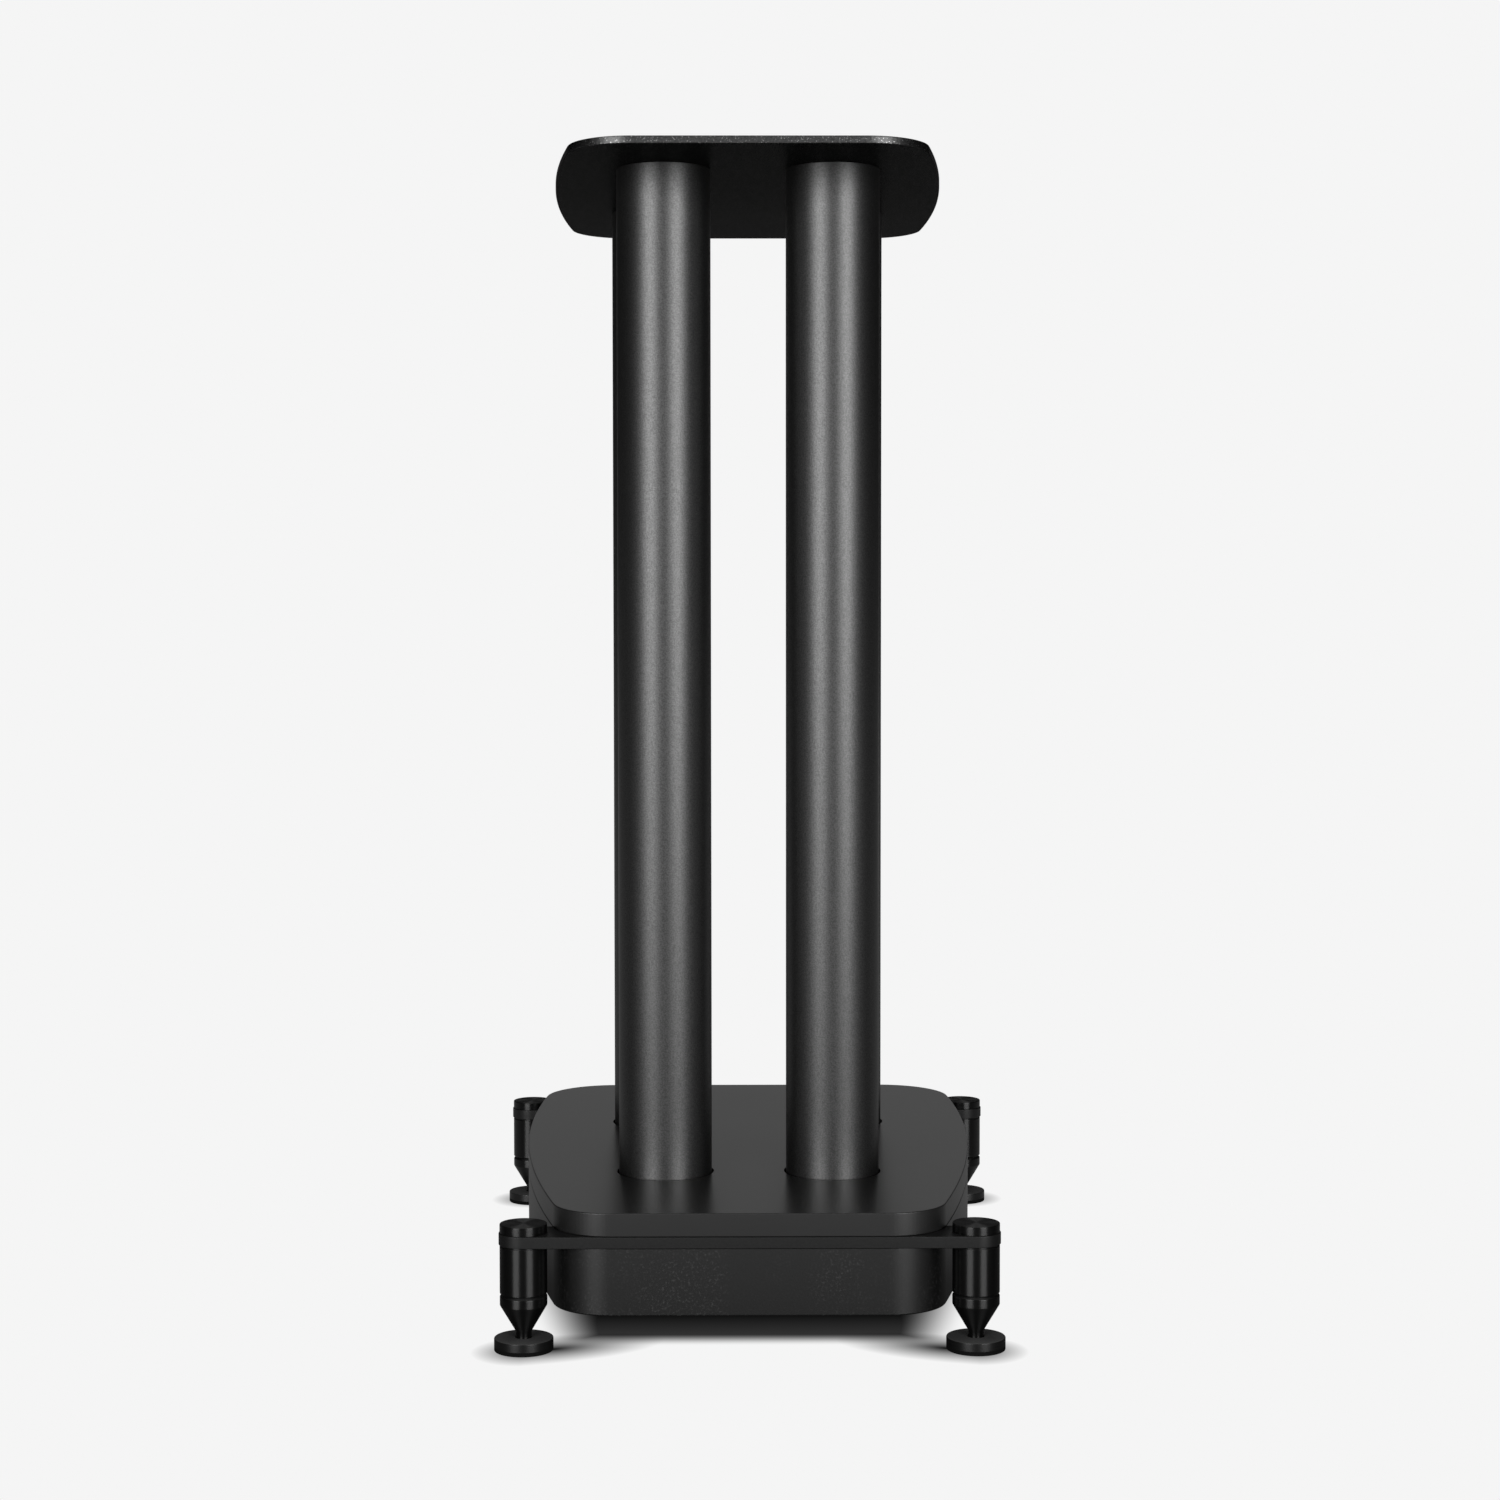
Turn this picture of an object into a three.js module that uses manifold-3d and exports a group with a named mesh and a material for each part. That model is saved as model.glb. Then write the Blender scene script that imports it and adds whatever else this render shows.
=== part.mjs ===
// A speaker stand: a thin bowed top plate on four round columns, a deck and a plinth block of
// one outline, and two outrigger bars whose ends carry spiked feet of adjustable height.
//
// Millimetres. +Z is up and -Y is the narrow front. The origin lies on the floor under the
// centre of the deck. Pieces are stacked from the floor up: pads, spikes, housings, bars,
// plinth, deck, columns, top plate.

import * as THREE from "three";
import { mergeVertices, toCreasedNormals } from "three/addons/utils/BufferGeometryUtils.js";
import Module from "manifold-3d";

const wasm = await Module();
wasm.setup();

// ---------------------------------------------------------------- driving dimensions

// Clearances
const seatGap = 0.02; // the coat of finish between two stacked faces
const runningClearance = 0.3; // round a thread, a shank or a spigot, and under a spike's tip
const insertClearance = 0.3; // between an insert and its column, for the adhesive
const rebateClearance = 0.3; // behind a bar in its rebate
const columnGroove = 1.1; // the open ring round each column in the deck

// Deck. Its front and rear edges are straight, and its sides are bowed.
const deckWidth = 256.5; // at the widest
const deckDepth = 374;
const deckThickness = 12;
const deckWidestY = 74.5;
const deckSideRadius = 1020;
const deckFrontCornerRadius = 31;
const deckRearCornerRadius = 42;
const deckEdgeBreak = 0.6;
const deckSeatDepth = 5; // how deep a column stands in the deck

// Plinth block, with the deck's outline
const plinthHeight = 40;
const plinthEdgeBreak = 0.8;
const counterboreDepth = 12;

// Top plate, with the deck's kind of outline
const topPlateWidth = 218; // at the widest
const topPlateDepth = 315;
const topPlateThickness = 4;
const topPlateWidestY = 51.5;
const topPlateSideRadius = 1025;
const topPlateCornerRadius = 34;
const topPlateEdgeBreak = 0.5;

// Columns
const columnRadius = 25;
const columnWall = 2;
const columnLength = 540.9;
const columnRowSpacing = 144; // from the front row to the rear row
const columnRowsY = -10.5; // midway between the rows
const frontColumnSpacing = 90; // from centre to centre across the stand
const rearColumnSpacing = 108;
const insertThickness = 15; // the threaded plug in each end of a column

// Outrigger bars, flat with fully round ends
const barWidth = 25;
const barThickness = 6;
const barEdgeBreak = 0.4;
const barScrewSpacing = 120;
const frontFootStandoff = 17.1; // from the deck's corner to a foot's centre
const rearFootStandoff = 18.8;

// Feet
const footRadius = 12; // of the cap, the housing and the spike's collar
const footEdgeBreak = 0.5;
const capHeight = 4.5;
const capCrown = 1.3; // what is left over the cap's threaded recess
const spigotRadius = 6; // passes up through the bar into the cap
const housingLength = 24.9;
const housingReliefRadius = 11.2; // the neck under the bar
const housingReliefHeight = 0.8;
const adjustmentGap = 1.2; // between the housing and the collar, as levelled
const studRadius = 4;
const studLength = 17;
const studEndChamfer = 0.8;
const boreReserve = 6; // the bore's depth beyond the stud's length
const collarHeight = 4.7;
const coneHeight = 13.7;
const neckRadius = 3.9;
const neckLength = 3; // in sight above the pad
const tipChamfer = 1.4;
const padRadius = 15;
const padThickness = 4.3;
const padDimpleDepth = 2.2;
const rubberRadius = 15;
const rubberThickness = 2.2;
const rubberEdgeBreak = 0.4;

// Countersunk screws, for the top plate and the bars
const screwRadius = 2.5;
const screwHeadRadius = 5;
const screwRecess = 0.2; // of the head below the surface
const screwSocketWidth = 3;
const screwSocketDepth = 1.8;
const topScrewLength = 16;
const barScrewLength = 20;
const screwHoleReserve = 2; // a blind hole's depth beyond its screw

// Base bolts, from under the plinth up into the columns
const boltRadius = 4;
const boltHeadRadius = 6.5;
const boltHeadHeight = 8;
const boltSocketWidth = 6;
const boltSocketDepth = 4;
const boltEngagement = 12; // in the column's insert
const washerRadius = 8.5;
const washerThickness = 1.6;
const counterboreClearance = 0.8; // round the washer

// Smoothness
const cornerSegments = 9; // of each arc in a plate's outline
const columnSegments = 36;
const footSegments = 20;
const insertSegments = 16;
const fastenerSegments = 12;
const cutOverrun = 1; // how far a cutting tool runs past the face that it opens
const weldDistance = 1e-4;
const creaseAngle = THREE.MathUtils.degToRad(32);

// ---------------------------------------------------------------- derived dimensions

const padBottomZ = rubberThickness + seatGap;
const padTopZ = padBottomZ + padThickness;
const spikeTipZ = padTopZ - padDimpleDepth + runningClearance;
const collarTopZ = padTopZ + neckLength + coneHeight + collarHeight;
const housingBottomZ = collarTopZ + adjustmentGap;
const barBottomZ = housingBottomZ + housingLength + seatGap;
const barTopZ = barBottomZ + barThickness;
const capBottomZ = barTopZ + seatGap;
const plinthBottomZ = barTopZ - plinthHeight;
const deckBottomZ = barTopZ + seatGap;
const deckTopZ = deckBottomZ + deckThickness;
const columnBottomZ = deckTopZ - deckSeatDepth + seatGap;
const columnTopZ = columnBottomZ + columnLength;
const topPlateBottomZ = columnTopZ + seatGap;
const topPlateTopZ = topPlateBottomZ + topPlateThickness;
const washerBottomZ = plinthBottomZ + counterboreDepth - seatGap - washerThickness;
const boltSeatZ = washerBottomZ - seatGap;

const columnInnerRadius = columnRadius - columnWall;
const insertRadius = columnInnerRadius - insertClearance;
const screwHeadHeight = screwHeadRadius - screwRadius; // a head of 90 degrees
const screwHoleRadius = screwRadius + runningClearance;
const boltHoleRadius = boltRadius + runningClearance;
const spigotHoleRadius = spigotRadius + runningClearance;
const spigotLength = seatGap + barThickness + seatGap + capHeight - capCrown - runningClearance;

const deckOutline = {
  width: deckWidth,
  depth: deckDepth,
  widestY: deckWidestY,
  sideRadius: deckSideRadius,
  frontCornerRadius: deckFrontCornerRadius,
  rearCornerRadius: deckRearCornerRadius,
};

const topPlateOutline = {
  width: topPlateWidth,
  depth: topPlateDepth,
  widestY: topPlateWidestY,
  sideRadius: topPlateSideRadius,
  frontCornerRadius: topPlateCornerRadius,
  rearCornerRadius: topPlateCornerRadius,
};

// ---------------------------------------------------------------- finishes

const texturedSteel = { color: 0x2b2b2d, roughness: 0.5, metalness: 0.3 };
const columnCoat = { color: 0x38383a, roughness: 0.42, metalness: 0.5 };
const deckLacquer = { color: 0x3a3a3b, roughness: 0.4, metalness: 0 };
const plinthCoat = { color: 0x2a2a2b, roughness: 0.6, metalness: 0 };
const blackAnodised = { color: 0x141415, roughness: 0.3, metalness: 0.6 };
const padCoat = { color: 0x303031, roughness: 0.55, metalness: 0.3 };
const blackRubber = { color: 0x0c0c0c, roughness: 0.85, metalness: 0 };
const blackenedSteel = { color: 0x1d1d1f, roughness: 0.35, metalness: 0.8 };
const plainAluminium = { color: 0x9a9b9e, roughness: 0.4, metalness: 0.9 };

// ---------------------------------------------------------------- solids and meshes

function solidOf(geometry) {
  const bare = geometry.clone();
  bare.deleteAttribute("normal");
  bare.deleteAttribute("uv");
  const welded = mergeVertices(bare, weldDistance);
  const corners = welded.index.array;
  const triangles = [];
  for (let i = 0; i < corners.length; i += 3) {
    const [a, b, c] = corners.slice(i, i + 3);
    if (a !== b && b !== c && c !== a) triangles.push(a, b, c);
  }
  const vertProperties = Float32Array.from(welded.attributes.position.array);
  const triVerts = Uint32Array.from(triangles);
  return new wasm.Manifold(new wasm.Mesh({ numProp: 3, vertProperties, triVerts }));
}

function geometryOf(solid) {
  const { vertProperties, triVerts } = solid.getMesh();
  const geometry = new THREE.BufferGeometry();
  geometry.setAttribute("position", new THREE.BufferAttribute(vertProperties, 3));
  geometry.setIndex(new THREE.BufferAttribute(triVerts, 1));
  return toCreasedNormals(geometry, creaseAngle);
}

function cutFrom(geometry, cutters) {
  return geometryOf(cutters.reduce((left, tool) => left.subtract(solidOf(tool)), solidOf(geometry)));
}

function piece(name, geometry, finish, z = 0) {
  const mesh = new THREE.Mesh(geometry, new THREE.MeshStandardMaterial(finish));
  mesh.name = name;
  mesh.position.z = z;
  return mesh;
}

// A body turned about Z from [radius, height] pairs. They run round the section with the
// material on their left, from the axis to the axis or back to the first pair.
function turned(section, segments) {
  const points = section.map(([radius, height]) => new THREE.Vector2(radius, height));
  return new THREE.LatheGeometry(points, segments).rotateX(Math.PI / 2);
}

function extruded(shape, height, edgeBreak, curveSegments = cornerSegments) {
  const geometry = new THREE.ExtrudeGeometry(shape, {
    depth: height - 2 * edgeBreak,
    curveSegments,
    bevelThickness: edgeBreak,
    bevelSize: edgeBreak,
    bevelOffset: -edgeBreak,
    bevelSegments: 1,
  });
  return geometry.translate(0, 0, edgeBreak);
}

// A hexagonal socket cut down from z to z - depth, or up where the depth is negative
function hexSocket(widthAcrossFlats, z, depth) {
  const radius = widthAcrossFlats / Math.sqrt(3);
  const height = Math.abs(depth) + cutOverrun;
  const middle = z - depth / 2 + (Math.sign(depth) * cutOverrun) / 2;
  return new THREE.CylinderGeometry(radius, radius, height, 6).rotateX(Math.PI / 2).translate(0, 0, middle);
}

// ---------------------------------------------------------------- plate outlines

// The corner arc where a plate's front (-1) or rear (1) edge runs into its bowed right side:
// its centre, its radius and the direction in which it touches the side's arc.
function plateCorner(outline, end) {
  const radius = end < 0 ? outline.frontCornerRadius : outline.rearCornerRadius;
  const y = end * (outline.depth / 2 - radius);
  const along = y - outline.widestY;
  const across = Math.sqrt((outline.sideRadius - radius) ** 2 - along ** 2);
  const x = outline.width / 2 - outline.sideRadius + across;
  return { x, y, radius, touch: Math.atan2(along, across) };
}

function plateShape(outline) {
  const front = plateCorner(outline, -1);
  const rear = plateCorner(outline, 1);
  const sideX = outline.width / 2 - outline.sideRadius;
  const quarter = Math.PI / 2;
  const shape = new THREE.Shape();
  shape.absarc(front.x, front.y, front.radius, -quarter, front.touch);
  shape.absarc(sideX, outline.widestY, outline.sideRadius, front.touch, rear.touch);
  shape.absarc(rear.x, rear.y, rear.radius, rear.touch, quarter);
  shape.absarc(-rear.x, rear.y, rear.radius, quarter, Math.PI - rear.touch);
  shape.absarc(-sideX, outline.widestY, outline.sideRadius, Math.PI - rear.touch, Math.PI - front.touch);
  shape.absarc(-front.x, front.y, front.radius, Math.PI - front.touch, 3 * quarter);
  shape.closePath();
  return shape;
}

// ---------------------------------------------------------------- rows and stations

// A foot stands off the deck's corner arc, on the centre line of its bar.
function footX(end, barY, standoff) {
  const corner = plateCorner(deckOutline, end);
  return corner.x + Math.sqrt((corner.radius + standoff) ** 2 - (barY - corner.y) ** 2);
}

function rowOf(name, end, columnSpacing, footStandoff) {
  const barY = (end * (deckDepth - barWidth)) / 2;
  return {
    name,
    end,
    columnX: columnSpacing / 2,
    columnY: columnRowsY + (end * columnRowSpacing) / 2,
    barY,
    footX: footX(end, barY, footStandoff),
  };
}

const rows = [
  rowOf("front", -1, frontColumnSpacing, frontFootStandoff),
  rowOf("rear", 1, rearColumnSpacing, rearFootStandoff),
];

const sides = [
  { name: "left", sign: -1 },
  { name: "right", sign: 1 },
];

// One station for each column and its foot, such as front_left
const stations = rows.flatMap((row) =>
  sides.map((side) => ({
    name: `${row.name}_${side.name}`,
    columnX: side.sign * row.columnX,
    columnY: row.columnY,
    footX: side.sign * row.footX,
    footY: row.barY,
    screwX: (side.sign * barScrewSpacing) / 2,
  })),
);

function atColumns(makeCutter) {
  return stations.map(({ columnX, columnY }) => makeCutter().translate(columnX, columnY, 0));
}

// ---------------------------------------------------------------- holes

function straightHole(radius, fromZ, toZ, segments = fastenerSegments) {
  return turned([[0, fromZ], [radius, fromZ], [radius, toZ], [0, toZ]], segments);
}

function steppedHole(lowRadius, lowZ, stepZ, highRadius, highZ, segments) {
  const section = [
    [0, lowZ],
    [lowRadius, lowZ],
    [lowRadius, stepZ],
    [highRadius, stepZ],
    [highRadius, highZ],
    [0, highZ],
  ];
  return turned(section, segments);
}

// A hole through a plate for a countersunk screw, whose head lies just below the top
function countersink(plateThickness) {
  const headTop = plateThickness - screwRecess;
  const mouthRadius = screwHeadRadius + runningClearance;
  const section = [
    [0, -cutOverrun],
    [screwHoleRadius, -cutOverrun],
    [screwHoleRadius, headTop - screwHeadHeight],
    [mouthRadius, headTop],
    [mouthRadius, plateThickness + cutOverrun],
    [0, plateThickness + cutOverrun],
  ];
  return turned(section, fastenerSegments);
}

// ---------------------------------------------------------------- plates, plinth and bars

function topPlate() {
  const blank = extruded(plateShape(topPlateOutline), topPlateThickness, topPlateEdgeBreak);
  const geometry = cutFrom(blank, atColumns(() => countersink(topPlateThickness)));
  return piece("top_plate", geometry, texturedSteel, topPlateBottomZ);
}

// Each column stands in a round seat, with an open groove round it and a bolt hole in its floor.
function deck() {
  const blank = extruded(plateShape(deckOutline), deckThickness, deckEdgeBreak);
  const seatRadius = columnRadius + columnGroove;
  const seatFloor = deckThickness - deckSeatDepth;
  const top = deckThickness + cutOverrun;
  const seat = () =>
    steppedHole(boltHoleRadius, -cutOverrun, seatFloor, seatRadius, top, columnSegments);
  return piece("deck", cutFrom(blank, atColumns(seat)), deckLacquer, deckBottomZ);
}

// The block is rebated along its front and rear top edges for the bars, and bored from below
// for the bolts and from above for the bars' screws.
function plinth() {
  const blank = extruded(plateShape(deckOutline), plinthHeight, plinthEdgeBreak);
  const top = plinthHeight + cutOverrun;
  const boltHole = () => {
    const boreRadius = washerRadius + counterboreClearance;
    return steppedHole(boreRadius, -cutOverrun, counterboreDepth, boltHoleRadius, top, fastenerSegments);
  };
  const rebateFloor = plinthHeight - barThickness - seatGap;
  const screwHoleFloor = plinthHeight - barScrewLength - screwHoleReserve;
  const screwHoles = stations.map(({ screwX, footY }) =>
    straightHole(screwHoleRadius, screwHoleFloor, top).translate(screwX, footY, 0),
  );
  const geometry = cutFrom(blank, [
    ...atColumns(boltHole),
    ...rows.map((row) => barRebate(row, rebateFloor, top)),
    ...screwHoles,
  ]);
  return piece("plinth", geometry, plinthCoat, plinthBottomZ);
}

function barRebate(row, floor, top) {
  const length = deckWidth + 2 * cutOverrun;
  const width = barWidth + rebateClearance + cutOverrun;
  const middleY = row.barY + (row.end * (cutOverrun - rebateClearance)) / 2;
  const box = new THREE.BoxGeometry(length, width, top - floor);
  return box.translate(0, middleY, (top + floor) / 2);
}

function barShape(halfSpacing) {
  const radius = barWidth / 2;
  const shape = new THREE.Shape();
  shape.absarc(halfSpacing, 0, radius, -Math.PI / 2, Math.PI / 2);
  shape.absarc(-halfSpacing, 0, radius, Math.PI / 2, (3 * Math.PI) / 2);
  shape.closePath();
  return shape;
}

function outriggerBar(row) {
  const blank = extruded(barShape(row.footX), barThickness, barEdgeBreak, footSegments / 2);
  const cutters = sides.flatMap(({ sign }) => [
    straightHole(spigotHoleRadius, -cutOverrun, barThickness + cutOverrun, footSegments)
      .translate(sign * row.footX, 0, 0),
    countersink(barThickness).translate((sign * barScrewSpacing) / 2, 0, 0),
  ]);
  const bar = piece(`${row.name}_bar`, cutFrom(blank, cutters), texturedSteel, barBottomZ);
  bar.position.y = row.barY;
  return bar;
}

// ---------------------------------------------------------------- fasteners

// From the flat of its head at z = 0 down to its end
function countersunkScrew(length) {
  const blank = turned(
    [
      [0, -length],
      [screwRadius, -length],
      [screwRadius, -screwHeadHeight],
      [screwHeadRadius, 0],
      [0, 0],
    ],
    fastenerSegments,
  );
  return cutFrom(blank, [hexSocket(screwSocketWidth, 0, screwSocketDepth)]);
}

// From its bearing face at z = 0 up to its end, with the socket head below
function baseBolt() {
  const length = columnBottomZ + boltEngagement - boltSeatZ;
  const blank = turned(
    [
      [0, -boltHeadHeight],
      [boltHeadRadius, -boltHeadHeight],
      [boltHeadRadius, 0],
      [boltRadius, 0],
      [boltRadius, length],
      [0, length],
    ],
    fastenerSegments,
  );
  return cutFrom(blank, [hexSocket(boltSocketWidth, -boltHeadHeight, -boltSocketDepth)]);
}

function ring(innerRadius, outerRadius, height, segments) {
  const section = [
    [innerRadius, 0],
    [outerRadius, 0],
    [outerRadius, height],
    [innerRadius, height],
    [innerRadius, 0],
  ];
  return turned(section, segments);
}

// ---------------------------------------------------------------- columns

// A column with its two threaded inserts, the screw that holds the top plate down on it and
// the bolt that pulls it down through the deck on to the plinth.
function column({ name, columnX, columnY }) {
  const group = new THREE.Group();
  group.position.set(columnX, columnY, 0);
  const tube = ring(columnInnerRadius, columnRadius, columnLength, columnSegments);
  const bottomInsert = ring(boltHoleRadius, insertRadius, insertThickness, insertSegments);
  const topInsert = ring(screwHoleRadius, insertRadius, insertThickness, insertSegments);
  const washer = ring(boltHoleRadius, washerRadius, washerThickness, fastenerSegments);
  group.add(
    piece(`column_${name}`, tube, columnCoat, columnBottomZ),
    piece(`bottom_insert_${name}`, bottomInsert, plainAluminium, columnBottomZ),
    piece(`top_insert_${name}`, topInsert, plainAluminium, columnTopZ - insertThickness),
    piece(`top_screw_${name}`, countersunkScrew(topScrewLength), blackenedSteel, topPlateTopZ - screwRecess),
    piece(`base_bolt_${name}`, baseBolt(), blackenedSteel, boltSeatZ),
    piece(`washer_${name}`, washer, blackenedSteel, washerBottomZ),
  );
  return group;
}

function barScrew({ name, screwX, footY }) {
  const screw = piece(`bar_screw_${name}`, countersunkScrew(barScrewLength), blackenedSteel);
  screw.position.set(screwX, footY, barTopZ - screwRecess);
  return screw;
}

// ---------------------------------------------------------------- feet

// The cap screws down on to the housing's spigot and clamps the housing under the bar.
function cap() {
  const recess = capHeight - capCrown;
  const section = [
    [0, recess],
    [spigotHoleRadius, recess],
    [spigotHoleRadius, 0],
    [footRadius, 0],
    [footRadius, capHeight - footEdgeBreak],
    [footRadius - footEdgeBreak, capHeight],
    [0, capHeight],
  ];
  return turned(section, footSegments);
}

// A cylinder with a relieved neck under the bar, a spigot that passes up through the bar, and
// a blind threaded bore that takes the spike's stud from below.
function housing() {
  const boreRadius = studRadius + runningClearance;
  const boreDepth = studLength + boreReserve;
  const spigotTop = housingLength + spigotLength;
  const section = [
    [0, boreDepth],
    [boreRadius, boreDepth],
    [boreRadius, 0],
    [footRadius - footEdgeBreak, 0],
    [footRadius, footEdgeBreak],
    [footRadius, housingLength - housingReliefHeight],
    [housingReliefRadius, housingLength - housingReliefHeight],
    [housingReliefRadius, housingLength],
    [spigotRadius, housingLength],
    [spigotRadius, spigotTop],
    [0, spigotTop],
  ];
  return turned(section, footSegments);
}

// From the blunt tip in the pad's dimple: neck, cone, collar and threaded stud
function spike() {
  const neckTop = padDimpleDepth - runningClearance + neckLength;
  const coneTop = neckTop + coneHeight;
  const collarTop = coneTop + collarHeight;
  const studTop = collarTop + studLength;
  const section = [
    [0, 0],
    [neckRadius - tipChamfer, 0],
    [neckRadius, tipChamfer],
    [neckRadius, neckTop],
    [footRadius, coneTop],
    [footRadius, collarTop - footEdgeBreak],
    [footRadius - footEdgeBreak, collarTop],
    [studRadius, collarTop],
    [studRadius, studTop - studEndChamfer],
    [studRadius - studEndChamfer, studTop],
    [0, studTop],
  ];
  return turned(section, footSegments);
}

function pad() {
  const dimpleRadius = neckRadius + runningClearance;
  const section = [
    [0, 0],
    [padRadius, 0],
    [padRadius, padThickness - footEdgeBreak],
    [padRadius - footEdgeBreak, padThickness],
    [dimpleRadius, padThickness],
    [dimpleRadius, padThickness - padDimpleDepth],
    [0, padThickness - padDimpleDepth],
  ];
  return turned(section, footSegments);
}

function padRubber() {
  const section = [
    [0, 0],
    [rubberRadius - rubberEdgeBreak, 0],
    [rubberRadius, rubberEdgeBreak],
    [rubberRadius, rubberThickness],
    [0, rubberThickness],
  ];
  return turned(section, footSegments);
}

function foot({ name, footX: x, footY: y }) {
  const group = new THREE.Group();
  group.position.set(x, y, 0);
  group.add(
    piece(`foot_cap_${name}`, cap(), blackAnodised, capBottomZ),
    piece(`foot_housing_${name}`, housing(), blackAnodised, housingBottomZ),
    piece(`spike_${name}`, spike(), blackAnodised, spikeTipZ),
    piece(`pad_${name}`, pad(), padCoat, padBottomZ),
    piece(`pad_rubber_${name}`, padRubber(), blackRubber),
  );
  return group;
}

// ---------------------------------------------------------------- assembly

const stand = new THREE.Group();
stand.add(topPlate(), deck(), plinth());
stand.add(...rows.map(outriggerBar));
stand.add(...stations.map(column));
stand.add(...stations.map(barScrew));
stand.add(...stations.map(foot));

export default stand;
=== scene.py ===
"""A speaker stand on spiked outrigger feet: its visible pieces, finishes, floor, lights and camera.

Everything is in metres, with +Z up and -Y the narrow front. Sizes and places come from the
solids that are loaded first, and each new piece stands exactly where its solid does.
"""

import math
from functools import partial

import bpy
from bpy.props import FloatProperty, FloatVectorProperty, PointerProperty
from mathutils import Matrix, Vector


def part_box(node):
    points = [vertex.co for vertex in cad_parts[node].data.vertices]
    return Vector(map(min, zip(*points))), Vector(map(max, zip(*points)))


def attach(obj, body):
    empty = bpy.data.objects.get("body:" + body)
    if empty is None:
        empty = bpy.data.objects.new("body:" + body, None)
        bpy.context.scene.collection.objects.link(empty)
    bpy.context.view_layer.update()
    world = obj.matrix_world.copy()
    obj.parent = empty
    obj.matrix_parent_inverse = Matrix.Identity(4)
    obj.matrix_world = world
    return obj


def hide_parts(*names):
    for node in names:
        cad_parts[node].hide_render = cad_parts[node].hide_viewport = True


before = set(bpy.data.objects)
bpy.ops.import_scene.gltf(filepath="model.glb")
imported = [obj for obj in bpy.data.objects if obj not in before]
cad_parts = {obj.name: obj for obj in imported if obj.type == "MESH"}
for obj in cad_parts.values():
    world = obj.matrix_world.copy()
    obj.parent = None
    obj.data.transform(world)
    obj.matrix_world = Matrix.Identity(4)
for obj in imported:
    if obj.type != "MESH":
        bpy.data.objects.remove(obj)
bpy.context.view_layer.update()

bl_info = {
    "name": "Speaker Stand",
    "version": (1, 0, 0),
    "blender": (4, 5, 0),
    "location": "3D View > Sidebar > Speaker Stand",
    "description": "Builds a four-column speaker stand on spiked feet of adjustable height",
    "category": "Object",
}

MM = 0.001
WELD = 1e-6  # metres, for points that are one
NEAR = 2e-5  # metres, for finding an edge by its place
OVERRUN = 1 * MM  # how far a cutter runs past the face that it opens
UP = (0.0, 0.0, 1.0)
SMOOTH_ANGLE = math.radians(32)  # the sharpest fold that is shaded smooth

ROWS = ("front", "rear")
STATIONS = ("front_left", "front_right", "rear_left", "rear_right")
FIRST = STATIONS[0]

# Steps round a full circle.
COLUMN_STEPS = 96
FOOT_STEPS = 72
FASTENER_STEPS = 40
# Steps along one corner, one bowed side and one rounded edge.
CORNER_STEPS = 18
SIDE_STEPS = 32
EDGE_STEPS = 3


# --- places and colours


def size_of(node):
    low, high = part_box(node)
    return high - low


def centre_of(node):
    low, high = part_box(node)
    return (low + high) / 2


def radius_of(node):
    return max(size_of(node).xy) / 2


def linear(hex_colour):
    """An opaque sRGB hex colour as the linear RGBA that the shaders take."""

    def channel(value):
        return value / 12.92 if value <= 0.04045 else ((value + 0.055) / 1.055) ** 2.4

    return (*(channel(int(hex_colour[i : i + 2], 16) / 255) for i in (0, 2, 4)), 1.0)


BLACK = linear("000000")


# --- settings


def length_setting(name, mm, description, least_mm=0):
    lengths = {"default": mm * MM, "min": least_mm * MM, "unit": "LENGTH"}
    return FloatProperty(name=name, description=description, **lengths)


def colour_setting(name, hex_colour, description):
    rgba = linear(hex_colour)
    return FloatVectorProperty(
        name=name, description=description, default=rgba, size=4, min=0.0, max=1.0, subtype="COLOR"
    )


def share_setting(name, share, description):
    return FloatProperty(
        name=name, description=description, default=share, min=0.0, max=1.0, subtype="FACTOR"
    )


def number_setting(name, number, description, unit="NONE"):
    return FloatProperty(name=name, description=description, default=number, min=0.0, unit=unit)


class TopPlateSettings(bpy.types.PropertyGroup):
    """Sizes of the top plate that its solid's box doesn't give."""

    widest_y: length_setting("Widest At", 51.5, "Where along the stand the plate is widest", -100)
    side_radius: length_setting("Side Radius", 1025, "Of the bowed sides")
    front_corner_radius: length_setting("Front Corner Radius", 34, "Of the front corners")
    rear_corner_radius: length_setting("Rear Corner Radius", 34, "Of the rear corners")
    edge_radius: length_setting("Edge Radius", 0.5, "Rounding along the rims")


class DeckSettings(bpy.types.PropertyGroup):
    """Sizes of the deck and of the plinth block, which has the same outline."""

    widest_y: length_setting("Widest At", 74.5, "Where along the stand the deck is widest", -100)
    side_radius: length_setting("Side Radius", 1020, "Of the bowed sides")
    front_corner_radius: length_setting("Front Corner Radius", 31, "Of the front corners")
    rear_corner_radius: length_setting("Rear Corner Radius", 42, "Of the rear corners")
    edge_radius: length_setting("Edge Radius", 0.6, "Rounding along the deck's rims")
    groove: length_setting("Groove", 1.1, "Width of the open ring round each column")
    seat_depth: length_setting("Seat Depth", 5, "How deep a column stands in the deck")
    plinth_edge_radius: length_setting("Plinth Edge Radius", 0.8, "Rounding along the block's rims")
    counterbore_radius: length_setting("Counterbore Radius", 9.3, "Of the recess for a bolt head")
    counterbore_depth: length_setting("Counterbore Depth", 12, "Of the recess for a bolt head")


class ColumnSettings(bpy.types.PropertyGroup):
    """Sizes of the round columns."""

    wall: length_setting("Wall", 2, "Thickness of the tube")
    edge_radius: length_setting("Edge Radius", 0.3, "Rounding at the tube's ends")


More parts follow.
